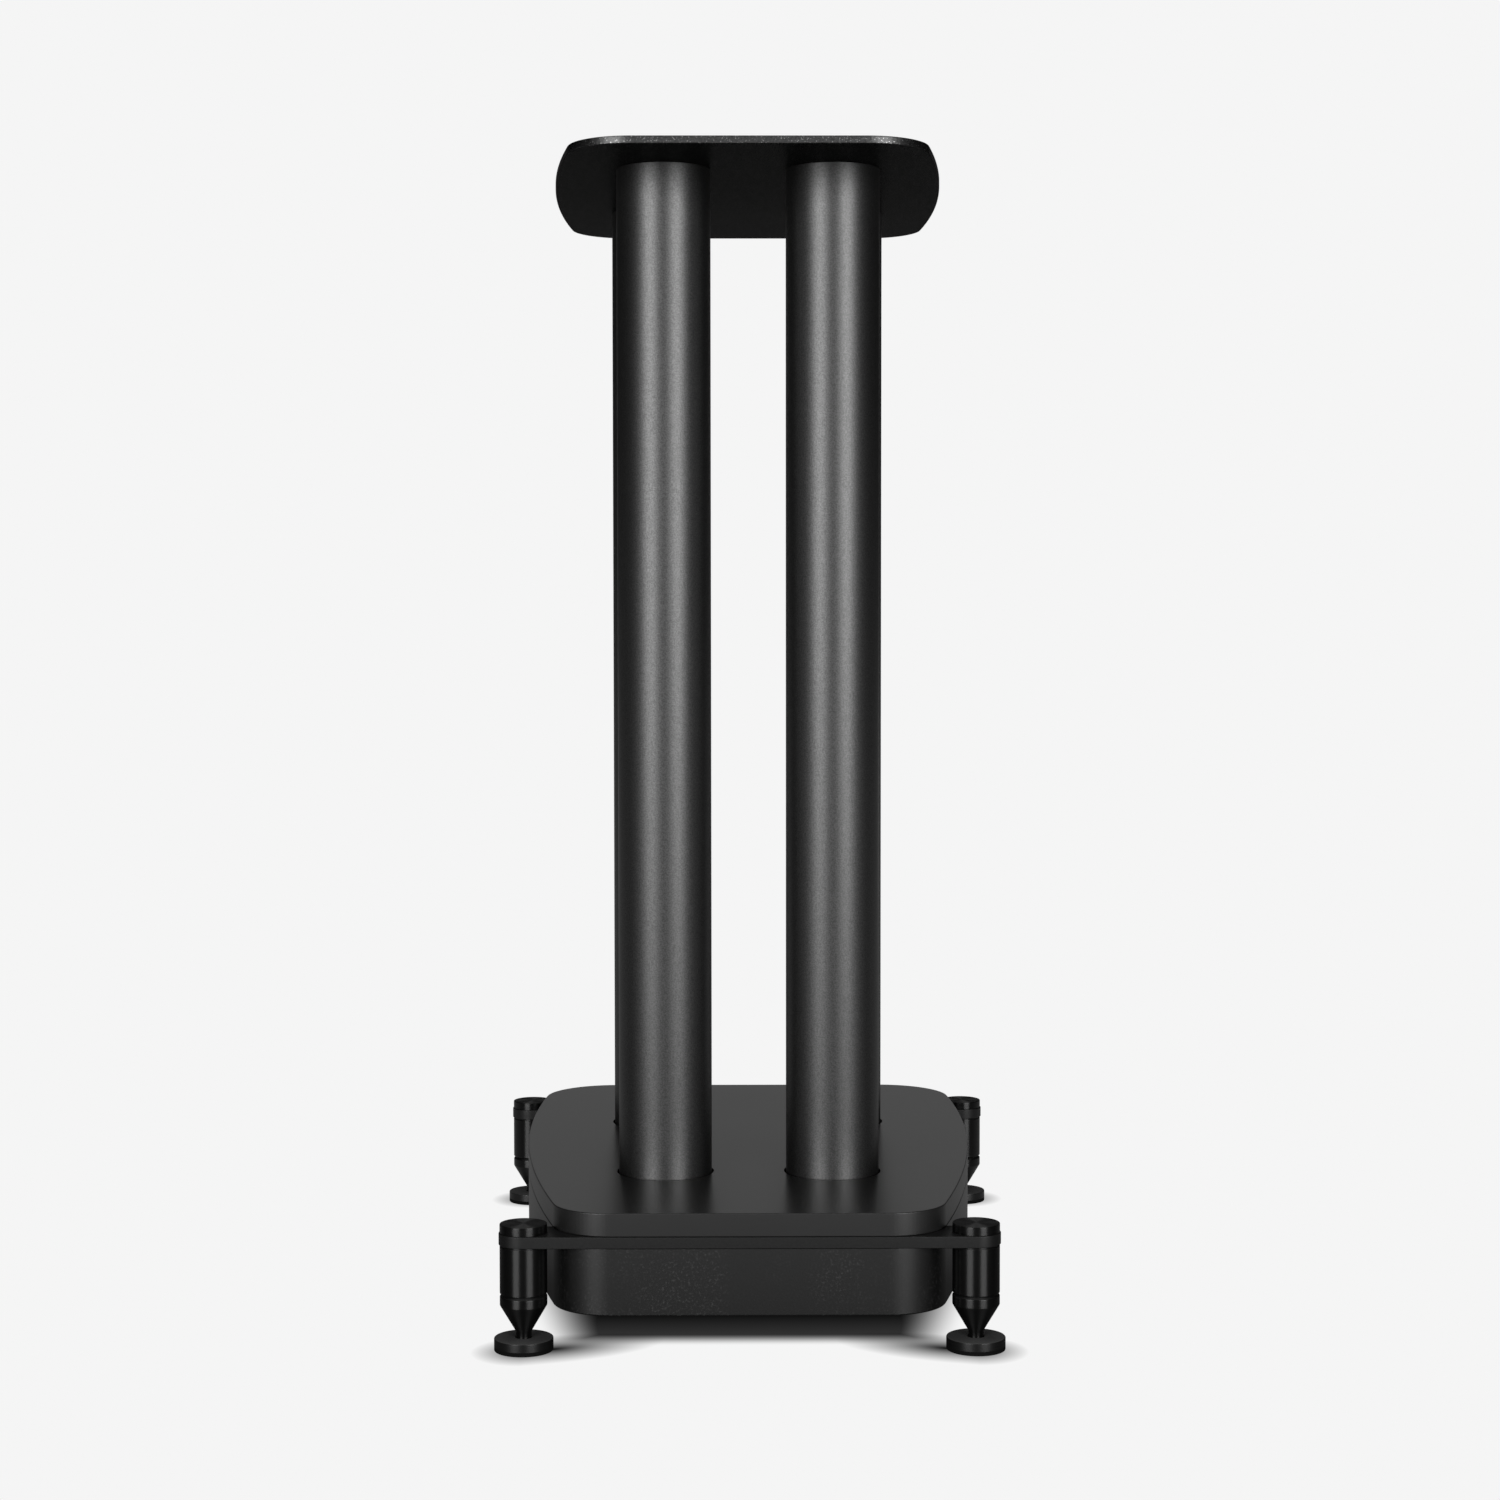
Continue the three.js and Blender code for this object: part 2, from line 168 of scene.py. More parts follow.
class BarSettings(bpy.types.PropertyGroup):
    """Sizes of the two outrigger bars."""

    edge_radius: length_setting("Edge Radius", 0.4, "Rounding along the rims")
    rebate_clearance: length_setting("Rebate Clearance", 0.3, "Behind the bar in its rebate")
    bed_clearance: length_setting("Bed Clearance", 0.02, "Under the bar in its rebate")


class FootSettings(bpy.types.PropertyGroup):
    """Sizes of the caps, housings, spikes and pads."""

    edge_radius: length_setting("Edge Radius", 0.5, "Rounding of the turned edges")
    spigot_radius: length_setting("Spigot Radius", 6, "Of the stub that passes through the bar")
    spigot_hole_radius: length_setting("Spigot Hole Radius", 6.3, "Of the hole in bar and cap")
    cap_recess: length_setting("Cap Recess", 3.2, "Depth of the threaded recess under the cap")
    housing_length: length_setting("Housing Length", 24.9, "From the lower edge to the bar")
    relief_radius: length_setting("Relief Radius", 11.2, "Of the neck under the bar")
    relief_height: length_setting("Relief Height", 0.8, "Of the neck under the bar")
    bore_radius: length_setting("Bore Radius", 4.3, "Of the threaded bore")
    bore_depth: length_setting("Bore Depth", 23, "Of the threaded bore")
    stud_radius: length_setting("Stud Radius", 4, "Crest radius of the spike's thread")
    stud_length: length_setting("Stud Length", 17, "Above the spike's collar")
    thread_pitch: length_setting("Thread Pitch", 1.25, "From crest to crest")
    thread_depth: length_setting("Thread Depth", 0.6, "From crest to root")
    collar_height: length_setting("Collar Height", 4.7, "Of the spike's upper ring")
    cone_height: length_setting("Cone Height", 13.7, "From neck to collar")
    neck_radius: length_setting("Neck Radius", 3.9, "Of the spike's blunt end")
    tip_chamfer: length_setting("Tip Chamfer", 1.4, "Of the spike's blunt end")
    dimple_radius: length_setting("Dimple Radius", 4.2, "Of the spike's seat in the pad")
    dimple_depth: length_setting("Dimple Depth", 2.2, "Of the spike's seat in the pad")
    rubber_edge: length_setting("Rubber Edge", 0.4, "Rounding under the rubber disc")


class FastenerSettings(bpy.types.PropertyGroup):
    """Sizes of the screws, bolts and washers that show."""

    screw_radius: length_setting("Screw Radius", 2.5, "Of the countersunk screws' shanks")
    screw_socket: length_setting("Screw Socket", 3, "Across the flats")
    screw_socket_depth: length_setting("Screw Socket Depth", 1.8, "Of the hexagonal recess")
    screw_head_drop: length_setting("Screw Head Drop", 0.2, "From the face to a countersunk head")
    hole_clearance: length_setting("Hole Clearance", 0.3, "Round a shank or a head")
    bolt_radius: length_setting("Bolt Radius", 4, "Of the base bolts' shanks")
    bolt_head_height: length_setting("Bolt Head Height", 8, "Of the base bolts")
    bolt_socket: length_setting("Bolt Socket", 6, "Across the flats")
    bolt_socket_depth: length_setting("Bolt Socket Depth", 4, "Of the hexagonal recess")
    edge_radius: length_setting("Edge Radius", 0.3, "Rounding of the heads")


class FinishSettings(bpy.types.PropertyGroup):
    """Colours of the stand's finishes."""

    plate_coat: colour_setting("Plate Coat", "464646", "Textured metallic coat on the top plate")
    plate_fleck: colour_setting("Plate Fleck", "B0B0B0", "Grains that catch the light")
    plate_sheen: colour_setting("Plate Sheen", "6C6C6C", "The same coat at a low angle")
    column_coat: colour_setting("Column Coat", "666666", "Satin metallic coat on the columns")
    column_shade: colour_setting("Column Shade", "515151", "Duller grains of the columns' coat")
    deck_lacquer: colour_setting("Deck Lacquer", "1C1C1C", "Satin lacquer on the deck's top")
    # Painted light: the deck's upright sides get a paler colour than its top, for the light they
    # catch.
    deck_side_painted_light: colour_setting("Deck Edge", "202020", "Lacquer on the deck's thirstier rim")
    plinth_coat: colour_setting("Plinth Coat", "0A0A0A", "Fine textured paint on the block")
    plinth_speck: colour_setting("Plinth Speck", "323232", "Raised grains of the block's paint")
    bar_coat: colour_setting("Bar Coat", "161616", "Smooth powder coat on the bars")
    anodised: colour_setting("Anodised", "080808", "Black anodised skin of the turned feet")
    anodised_top: colour_setting("Anodised Top", "1A1A1A", "The caps' tops, which are duller")
    pad_side: colour_setting("Pad Side", "181818", "Turned rims of the floor pads")
    pad_coat: colour_setting("Pad Coat", "484848", "Bead-blasted tops of the floor pads")
    rubber: colour_setting("Rubber", "050505", "Discs under the pads")
    rubber_bloom: colour_setting("Rubber Bloom", "0D0D0D", "Greyer patches of the rubber")
    black_steel: colour_setting("Black Steel", "1E1E1E", "Oiled black oxide on the fasteners")
    steel_stain: colour_setting("Steel Stain", "303030", "Paler patches of the black oxide")
    aluminium: colour_setting("Aluminium", "A5A5A5", "Plain turned inserts in the columns")
    aluminium_mark: colour_setting("Aluminium Mark", "7C7C7C", "Turning marks on the inserts")


class StudioSettings(bpy.types.PropertyGroup):
    """How bright the floor, the background and the lights are, and the floor's shade."""

    floor: colour_setting("Floor", "F5F5F5", "The pale seamless floor and background")
    surroundings: colour_setting("Surroundings", "121212", "The dark room in reflections")
    front_bounce: share_setting("Front Bounce", 0.24, "The front floor, in reflections")
    side_bounce: share_setting("Side Bounce", 0.05, "The floor beside, in reflections")
    back_bounce: share_setting("Back Bounce", 0.22, "The floor behind, in reflections")
    softbox_power: number_setting("Softbox Power", 82, "Of each of the two in front", "POWER")
    top_power: number_setting("Top Power", 9, "Of the soft light overhead", "POWER")
    back_power: number_setting("Back Power", 1.72, "Of the soft panel behind", "POWER")
    side_inset: length_setting("Side Inset", 18.5, "Of the shadow from the block's sides")
    end_inset: length_setting("End Inset", 34.4, "Of the shadow from the block's ends")
    side_sharpness: share_setting("Side Sharpness", 0.685, "Of its sides, against its ends")
    shadow_softness: length_setting("Shadow Softness", 15.7, "Half its soft rim's width")
    shadow_power: number_setting("Shadow Power", 2.46, "How dark the soft rim is")
    end_light: share_setting("End Light", 0.032, "Of the floor under the block's ends")
    end_light_inset: length_setting("End Light Inset", 8, "In from the ends, where it is full")
    end_light_reach: length_setting("End Light Reach", 50, "In from the ends, where it has gone")
    pad_shade_reach: length_setting("Pad Shade Reach", 26.6, "Of the soft shade round a pad")
    pad_shade_length: length_setting("Pad Shade Length", 14.8, "How far it is drawn inwards")
    pad_shade_shift: length_setting("Pad Shade Shift", 4, "How far it is moved from the block")
    pad_shade_turn: share_setting("Pad Shade Turn", 0.3, "How much it turns towards the block")
    pad_shade_stretch: share_setting("Pad Shade Stretch", 0.477, "Inner slope against the outer")
    pad_shade_power: number_setting("Pad Shade Power", 1.21, "How dark it is")


SETTINGS = {
    "stand_top_plate": TopPlateSettings,
    "stand_deck": DeckSettings,
    "stand_columns": ColumnSettings,
    "stand_bars": BarSettings,
    "stand_feet": FootSettings,
    "stand_fasteners": FastenerSettings,
    "stand_finishes": FinishSettings,
    "stand_studio": StudioSettings,
}


# --- modelling by hand


def leave_edit_mode():
    if bpy.context.object and bpy.context.object.mode != "OBJECT":
        bpy.ops.object.mode_set(mode="OBJECT")


def select_nothing():
    leave_edit_mode()
    bpy.ops.object.select_all(action="DESELECT")


def only(obj):
    """Selects one object and makes it the active one."""
    select_nothing()
    obj.select_set(True)
    bpy.context.view_layer.objects.active = obj


def select_points():
    bpy.ops.mesh.select_all(action="SELECT")


def start_wire(name, point):
    """A new object in edit mode, whose mesh is one selected point."""
    select_nothing()
    bpy.ops.mesh.primitive_plane_add(size=1.0, location=(0.0, 0.0, 0.0))
    obj = bpy.context.active_object
    obj.name = obj.data.name = name
    bpy.ops.object.mode_set(mode="EDIT")
    bpy.ops.mesh.select_mode(type="VERT")
    select_points()
    bpy.ops.mesh.merge(type="CENTER")
    bpy.ops.transform.translate(value=point)
    return obj


def draw_line(step):
    bpy.ops.mesh.extrude_vertices_move(TRANSFORM_OT_translate={"value": tuple(step)})


def draw_arc(centre, angle, steps):
    """Carries the selected point round a centre, anticlockwise as seen from above."""
    bpy.ops.mesh.spin(steps=steps, angle=-angle, center=centre, axis=UP)


def weld():
    select_points()
    bpy.ops.mesh.remove_doubles(threshold=WELD)
    bpy.ops.mesh.normals_make_consistent(inside=False)


def fill_and_raise(height):
    """Fills the outline that has been drawn, and extrudes it up to a closed block."""
    select_points()
    bpy.ops.mesh.remove_doubles(threshold=WELD)
    select_points()
    bpy.ops.mesh.edge_face_add()
    bpy.ops.mesh.extrude_region_move(TRANSFORM_OT_translate={"value": (0.0, 0.0, height)})
    weld()
    leave_edit_mode()


def pick_edges(obj, wanted):
    """Enters edit mode with the edges selected whose two ends are both wanted."""
    only(obj)
    bpy.ops.object.mode_set(mode="EDIT")
    bpy.ops.mesh.select_mode(type="EDGE")
    bpy.ops.mesh.select_all(action="DESELECT")
    bpy.ops.object.mode_set(mode="OBJECT")
    points = obj.data.vertices
    for edge in obj.data.edges:
        edge.select = all(wanted(points[i].co) for i in edge.vertices)
    bpy.ops.object.mode_set(mode="EDIT")


def round_edges(obj, wanted, radius):
    pick_edges(obj, wanted)
    bpy.ops.mesh.bevel(offset=radius, segments=EDGE_STEPS, profile=0.5, affect="EDGES")
    leave_edit_mode()


def at_height(*heights):
    return lambda point: any(abs(point.z - height) < NEAR for height in heights)


def on_ring(centre, radius, height):
    def wanted(point):
        reach = math.hypot(point.x - centre.x, point.y - centre.y)
        return abs(reach - radius) < NEAR and abs(point.z - height) < NEAR

    return wanted


def turned(name, centre, section, steps, rounded=()):
    """A body turned about an upright axis from (radius, height) pairs, which run from the
    axis to the axis or back to the first pair. rounded lists (radius, height, rounding)."""
    points = [Vector((centre.x + radius, centre.y, height)) for radius, height in section]
    obj = start_wire(name, points[0])
    for here, there in zip(points, points[1:]):
        draw_line(there - here)
    select_points()
    foot = (centre.x, centre.y, 0.0)
    bpy.ops.mesh.spin(steps=steps, angle=math.tau, center=foot, axis=UP, use_auto_merge=True)
    weld()
    leave_edit_mode()
    for radius, height, rounding in rounded:
        round_edges(obj, on_ring(centre, radius, height), rounding)
    return obj


def turned_size(part):
    """The lowest and highest height of a turned part at rest, and its radius."""
    node = f"{part}_{FIRST}"
    low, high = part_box(node)
    return low.z, high.z, radius_of(node)


def turned_piece(part, section, rounded, steps=FASTENER_STEPS):
    """The first of a turned part, standing where its solid does."""
    return turned(f"{part}_look_{FIRST}", centre_of(f"{part}_{FIRST}"), section, steps, rounded)


def stepped_section(start, *steps):
    """From the axis at a start height out through the steps, each of which is a radius and
    the height to which it goes, and back to the axis."""
    section = [(0.0, start)]
    for radius, end in steps:
        section += [(radius, section[-1][1]), (radius, end)]
    return [*section, (0.0, section[-1][1])]


def ring_section(inner, outer, low, high):
    return [(inner, low), (outer, low), (outer, high), (inner, high), (inner, low)]


def apply_modifier(obj, kind, **settings):
    only(obj)
    modifier = obj.modifiers.new(kind.title(), kind)
    for name, value in settings.items():
        setattr(modifier, name, value)
    bpy.ops.object.modifier_apply(modifier=modifier.name)


def combine(obj, other, operation="DIFFERENCE"):
    """Cuts the other object away from this one, or adds it, and removes the other."""
    apply_modifier(obj, "BOOLEAN", operation=operation, solver="EXACT", object=other)
    bpy.data.objects.remove(other)


def cut_socket(obj, part, width, low, high):
    """Cuts a hexagonal socket, whose width is across the flats, in the first of a part."""
    x, y, _ = centre_of(f"{part}_{FIRST}")
    middle = (x, y, (low + high) / 2)
    radius = width / math.sqrt(3)
    select_nothing()
    cylinder = {"radius": radius, "depth": high - low, "location": middle}
    bpy.ops.mesh.primitive_cylinder_add(vertices=6, **cylinder)
    bpy.ops.object.transform_apply()
    combine(obj, bpy.context.active_object)


def copy_of(obj, name, step):
    """A copy with its own mesh, moved by a step."""
    other = obj.copy()
    other.data = obj.data.copy()
    other.name = other.data.name = name
    other.data.transform(Matrix.Translation(step))
    bpy.context.scene.collection.objects.link(other)
    return other


def finish_piece(obj, body, node, material):
    """Smooths a piece, gives it its material and puts it in its solid's place."""
    only(obj)
    bpy.ops.object.shade_smooth_by_angle(angle=SMOOTH_ANGLE)
    apply_modifier(obj, "WEIGHTED_NORMAL", keep_sharp=True)
    obj.data.materials.clear()
    obj.data.materials.append(material)
    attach(obj, body)
    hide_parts(node)


def finish_at_stations(obj, part, body, material):
    """Copies the piece made at the first station to the others, and finishes all four."""
    pieces = {FIRST: obj}
    for station in STATIONS[1:]:
        step = centre_of(f"{part}_{station}") - centre_of(f"{part}_{FIRST}")
        pieces[station] = copy_of(obj, f"{part}_look_{station}", step.xy.to_3d())
    for station, piece in pieces.items():
        finish_piece(piece, body.format(station), f"{part}_{station}", material)


# --- plates and their holes


def corner_arc(width, depth, sizes, corner_radius, end):
    """The corner between the front (-1) or rear (1) edge and the bowed right side: its
    centre, and the direction in which it touches the side's arc."""
    y = end * (depth / 2 - corner_radius)
    along = y - sizes.widest_y
    reach = math.sqrt((sizes.side_radius - corner_radius) ** 2 - along**2)
    x = width / 2 - sizes.side_radius + reach
    return Vector((x, y, 0.0)), math.atan2(along, reach)


def bowed_plate(node, sizes, edge_radius):
    """A plate with straight front and rear edges, bowed sides and round corners, drawn as a
    wire round its outline at the solid's underside, then filled, raised and rounded."""
    low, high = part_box(node)
    width, depth, height = high - low
    front, front_touch = corner_arc(width, depth, sizes, sizes.front_corner_radius, -1)
    rear, rear_touch = corner_arc(width, depth, sizes, sizes.rear_corner_radius, 1)
    side = Vector((width / 2 - sizes.side_radius, sizes.widest_y, 0.0))
    quarter = math.pi / 2
    right = [
        (front, front_touch + quarter, CORNER_STEPS),
        (side, rear_touch - front_touch, SIDE_STEPS),
        (rear, quarter - rear_touch, CORNER_STEPS),
    ]
    obj = start_wire(f"{node}_look", (front.x, -depth / 2, low.z))
    for centre, angle, steps in right:
        draw_arc(centre, angle, steps)
    draw_line((-2 * rear.x, 0.0, 0.0))
    for centre, angle, steps in reversed(right):
        draw_arc((-centre.x, centre.y, 0.0), angle, steps)
    draw_line((2 * front.x, 0.0, 0.0))
    fill_and_raise(height)
    round_edges(obj, at_height(low.z, high.z), edge_radius)
    return obj


def cut_hole(plate, node, centre, low_radius, high_radius, steps, *between):
    """Cuts a turned hole through the plate that takes a node's place. between are the (radius,
    height) pairs, from below, where its radius changes."""
    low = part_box(node)[0].z - OVERRUN
    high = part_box(node)[1].z + OVERRUN
    section = [(0.0, low), (low_radius, low), *between, (high_radius, high), (0.0, high)]
    combine(plate, turned("hole", centre, section, steps))


def cut_countersink(plate, node, screw, sizes):
    """Cuts a hole for a countersunk screw, whose head lies just below the plate's top."""
    head = radius_of(screw)
    head_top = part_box(node)[1].z - sizes.screw_head_drop
    hole = sizes.screw_radius + sizes.hole_clearance
    mouth = head + sizes.hole_clearance
    cone = ((hole, head_top - (head - sizes.screw_radius)), (mouth, head_top))
    cut_hole(plate, node, centre_of(screw), hole, mouth, FASTENER_STEPS, *cone)


# --- finishes


def add_node(tree, kind, inputs=(), output="", **settings):
    """Adds a node with its settings, and gives its first output or the named one. The inputs
    are numbers, colours or outputs to link, in the node's own order or by name."""
    node = tree.nodes.new("ShaderNode" + kind)
    for name, value in settings.items():
        setattr(node, name, value)
    if isinstance(inputs, dict):
        filled = [(node.inputs[name], value) for name, value in inputs.items()]
    else:
        filled = list(zip((socket for socket in node.inputs if socket.enabled), inputs))
    for socket, value in filled:
        if isinstance(value, bpy.types.NodeSocket):
            tree.links.new(value, socket)
        else:
            socket.default_value = value
    first = next((socket for socket in node.outputs if socket.enabled), None)
    return node.outputs[output] if output else first


def empty_nodes(owner):
    """Clears the nodes of a material or a world, and gives the function that adds to them."""
    owner.use_nodes = True
    owner.node_tree.nodes.clear()
    return partial(add_node, owner.node_tree)


def new_material(name):
    """A material with one node, which gives the place on the stand, and what adds to it."""
    material = bpy.data.materials.new(name)
    add = empty_nodes(material)
    return material, add, add("TexCoord", output="Object")


def per_metre(size_mm):
    """The texture scale that gives a pattern this size."""
    return 1 / (size_mm * MM)


def surface(material, height, depth, colour, roughness, **inputs):
    """Ends a material in one Principled shader, with bumps of this pattern and depth."""
    add = partial(add_node, material.node_tree)
    normal = add("Bump", {"Height": height, "Distance": depth})
    looks = {"Base Color": colour, "Roughness": roughness, "Normal": normal}
    shader = add("BsdfPrincipled", {**looks, **inputs})
    add("OutputMaterial", [shader])
    return material


def mottled(add, pattern, spread, share, colour, other):
    """A colour that takes on a share of the other where a pattern rises past its middle."""
    tone = add("MapRange", [pattern, 0.5 - spread, 0.5 + spread, 0.0, share])
    return add("Mix", [tone, colour, other], data_type="RGBA")


def upward_share(add):
    """0 on upright faces and 1 on level ones."""
    normal = add("NewGeometry", output="Normal")
    return add("MapRange", [add("SeparateXYZ", [normal], "Z"), 0.5, 0.95])


def turning_marks(add, place, spacing_mm, stretch):
    """Noise drawn out sideways into the level marks that a lathe leaves round a part."""
    drawn_out = add("Mapping", {"Vector": place, "Scale": (1 / stretch, 1 / stretch, 1.0)})
    return add("TexNoise", {"Vector": drawn_out, "Scale": per_metre(spacing_mm)})


def textured_powder_coat(colours):
    """Textured metallic powder coat on steel plate. The cured grains are about 0.3 mm, drawn
    at 0.8 mm so that they show, and give a dull charcoal with single grains that glint."""
    material, add, place = new_material("textured_powder_coat")
    grain = add("TexNoise", {"Vector": place, "Scale": per_metre(0.8), "Roughness": 0.6})
    flecks = add("TexVoronoi", {"Vector": place, "Scale": per_metre(1.1)})
    glint = add("MapRange", [flecks, 0.3, 0.1])
    dark = mottled(add, grain, 0.15, 0.12, colours.plate_coat, colours.plate_fleck)
    colour = add("Mix", [glint, dark, colours.plate_fleck], data_type="RGBA")
    gloss = add("MapRange", [grain, 0.35, 0.65, 0.34, 0.42])
    metal = {"Metallic": 1.0, "Specular Tint": colours.plate_sheen}
    return surface(material, grain, 0.04 * MM, colour, gloss, **metal)


def column_coat(colours):
    """Satin coat with metallic pigment on steel tube: black where nothing bright stands, with
    broad soft highlights. The pigment's grain is about 0.1 mm, drawn at 0.6 mm so that it
    shows."""
    material, add, place = new_material("satin_metallic_coat")
    grain = add("TexNoise", {"Vector": place, "Scale": per_metre(0.6), "Detail": 1.0})
    pigment = add("TexNoise", {"Vector": place, "Scale": per_metre(0.75), "Roughness": 0.7})
    colour = mottled(add, pigment, 0.15, 1.0, colours.column_coat, colours.column_shade)
    gloss = add("MapRange", [grain, 0.3, 0.7, 0.385, 0.45])
    return surface(material, grain, 0.03 * MM, colour, gloss, Metallic=1.0)


def deck_lacquer(colours):
    """Satin lacquer, sprayed on fibreboard. Its top is smooth, and mirrors the columns at a low
    angle. The upright rim is duller, and its colour is painted paler than the top's as painted
    light on the sides. Sprayed waves are 6 mm."""
    material, add, place = new_material("satin_lacquer_on_fibreboard")
    waves = add("TexNoise", {"Vector": place, "Scale": per_metre(6), "Detail": 1.0})
    dust = add("TexNoise", {"Vector": place, "Scale": per_metre(1), "Roughness": 0.6})
    clouds = add("TexNoise", {"Vector": place, "Scale": per_metre(40), "Detail": 3.0})
    rim = mottled(add, clouds, 0.2, 0.12, colours.deck_side_painted_light, colours.deck_lacquer)
    level = upward_share(add)
    height = add("Math", [waves, dust], operation="ADD")
    # Upright faces take the paler rim colour, which is painted light; level faces keep the plain
    # lacquer.
    colour = add("Mix", [level, rim, colours.deck_lacquer], data_type="RGBA")
    gloss = add("MapRange", [level, 0.0, 1.0, 0.36, 0.3])
    return surface(material, height, 0.006 * MM, colour, gloss, IOR=1.65)


def plinth_paint(colours):
    """Fine textured paint on a fibreboard block: satin black, with raised specks of 1.3 mm
    that lie thicker in some places than in others."""
    material, add, place = new_material("fine_textured_paint")
    fine = {"Vector": place, "Scale": per_metre(1.3), "Detail": 3.0, "Roughness": 0.7}
    specks = add("TexNoise", fine)
    patches = add("TexNoise", {"Vector": place, "Scale": per_metre(22)})
    raised = add("MapRange", [specks, 0.54, 0.66])
    density = add("MapRange", [patches, 0.4, 0.62, 0.1, 1.0])
    share = add("Math", [raised, density], operation="MULTIPLY")
    colour = add("Mix", [share, colours.plinth_coat, colours.plinth_speck], data_type="RGBA")
    return surface(material, specks, 0.02 * MM, colour, 0.36, IOR=1.7)


def bar_coat(colours):
    """Smooth powder coat on flat steel bar: satin black with a faint orange peel of 2.5 mm."""
    material, add, place = new_material("smooth_powder_coat")
    peel = add("TexNoise", {"Vector": place, "Scale": per_metre(2.5), "Detail": 1.0})
    spots = add("TexNoise", {"Vector": place, "Scale": per_metre(1.2)})
    colour = mottled(add, spots, 0.15, 0.4, colours.bar_coat, BLACK)
    return surface(material, peel, 0.02 * MM, colour, 0.42, IOR=1.5)


def turned_black(name, side_colour, top_colour, side_roughness, drawn_out):
    """Black anodised aluminium, turned on a lathe. Its marks run round each part about 0.2 mm
    apart, drawn at 0.6 mm so that they show. They draw each light out along the part into a
    narrow upright highlight. The faces that look up are duller."""
    material, add, place = new_material(name)
    marks = turning_marks(add, place, 0.6, 100)
    side = mottled(add, marks, 0.2, 0.5, side_colour, BLACK)
    uneven = add("MapRange", [marks, 0.3, 0.7, side_roughness - 0.03, side_roughness + 0.03])
    level = upward_share(add)
    colour = add("Mix", [level, side, top_colour], data_type="RGBA")
    gloss = add("MapRange", [level, 0.0, 1.0, uneven, 0.8])
    round_axis = add("Tangent", direction_type="RADIAL", axis="Z")
    turning = {"Anisotropic": drawn_out, "Anisotropic Rotation": 0.25, "Tangent": round_axis}
    return surface(material, marks, 0.001 * MM, colour, gloss, IOR=1.53, **turning)


def anodised_black(colours):
    """The caps, housings and spikes, which are polished before the anodising."""
    name = "black_anodised_aluminium"
    return turned_black(name, colours.anodised, colours.anodised_top, 0.33, 0.9)


def blasted_black(colours):
    """The pads, which are bead-blasted before the anodising, and are duller and greyer."""
    return turned_black("bead_blasted_aluminium", colours.pad_side, colours.pad_coat, 0.38, 0.5)


def moulded_rubber(colours):
    """Moulded black rubber, which gives back almost nothing, with a fine 0.7 mm grain."""
    material, add, place = new_material("moulded_rubber")
    grain = add("TexNoise", {"Vector": place, "Scale": per_metre(0.7)})
    colour = mottled(add, grain, 0.2, 0.3, colours.rubber, colours.rubber_bloom)
    return surface(material, grain, 0.02 * MM, colour, 0.9, IOR=1.3)


def black_oxide_steel(colours):
    """Black oxide on turned steel, oiled: dark metal with a soft gloss and uneven tone, in
    patches of 1.8 mm."""
    material, add, place = new_material("black_oxide_steel")
    patchy = {"Vector": place, "Scale": per_metre(1.8), "Detail": 3.0, "Roughness": 0.6}
    stain = add("TexNoise", patchy)
    grain = add("TexNoise", {"Vector": place, "Scale": per_metre(0.4), "Detail": 1.0})
    colour = mottled(add, stain, 0.2, 0.6, colours.black_steel, colours.steel_stain)
    gloss = add("MapRange", [stain, 0.3, 0.7, 0.28, 0.42])
    return surface(material, grain, 0.005 * MM, colour, gloss, Metallic=0.9)


def turned_aluminium(colours):
    """Plain aluminium as it comes off the lathe, with turning marks 0.3 mm apart."""
    material, add, place = new_material("turned_aluminium")
    marks = turning_marks(add, place, 0.3, 25)
    colour = mottled(add, marks, 0.2, 0.2, colours.aluminium, colours.aluminium_mark)
    gloss = add("MapRange", [marks, 0.3, 0.7, 0.3, 0.45])
    return surface(material, marks, 0.006 * MM, colour, gloss, Metallic=1.0)


# --- operators


class StandOperator(bpy.types.Operator):
    """What the operators share: undo, and the need of a scene to build in."""

    bl_options = {"REGISTER", "UNDO"}

    @classmethod
    def poll(cls, context):
        return context.scene is not None


class STAND_OT_top_plate(StandOperator):
    """Build the thin steel top plate with its four countersunk holes"""

    bl_idname = "stand.top_plate"
    bl_label = "Top Plate"

    def execute(self, context):
        scene = context.scene
        sizes = scene.stand_top_plate
        plate = bowed_plate("top_plate", sizes, sizes.edge_radius)
        for station in STATIONS:
            cut_countersink(plate, "top_plate", f"top_screw_{station}", scene.stand_fasteners)
        coat = textured_powder_coat(scene.stand_finishes)
        finish_piece(plate, "stand", "top_plate", coat)
        return {"FINISHED"}


class STAND_OT_deck(StandOperator):
    """Build the deck, with a round seat and an open groove for each column"""

    bl_idname = "stand.deck"
    bl_label = "Deck"

    def execute(self, context):
        scene = context.scene
        sizes = scene.stand_deck
        deck = bowed_plate("deck", sizes, sizes.edge_radius)
        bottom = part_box("deck")[1].z - sizes.seat_depth
        bolt = scene.stand_fasteners.bolt_radius + scene.stand_fasteners.hole_clearance
        for station in STATIONS:
            column = f"column_{station}"
            seat = radius_of(column) + sizes.groove
            step = ((bolt, bottom), (seat, bottom))
            cut_hole(deck, "deck", centre_of(column), bolt, seat, COLUMN_STEPS, *step)
        finish_piece(deck, "stand", "deck", deck_lacquer(scene.stand_finishes))
        return {"FINISHED"}


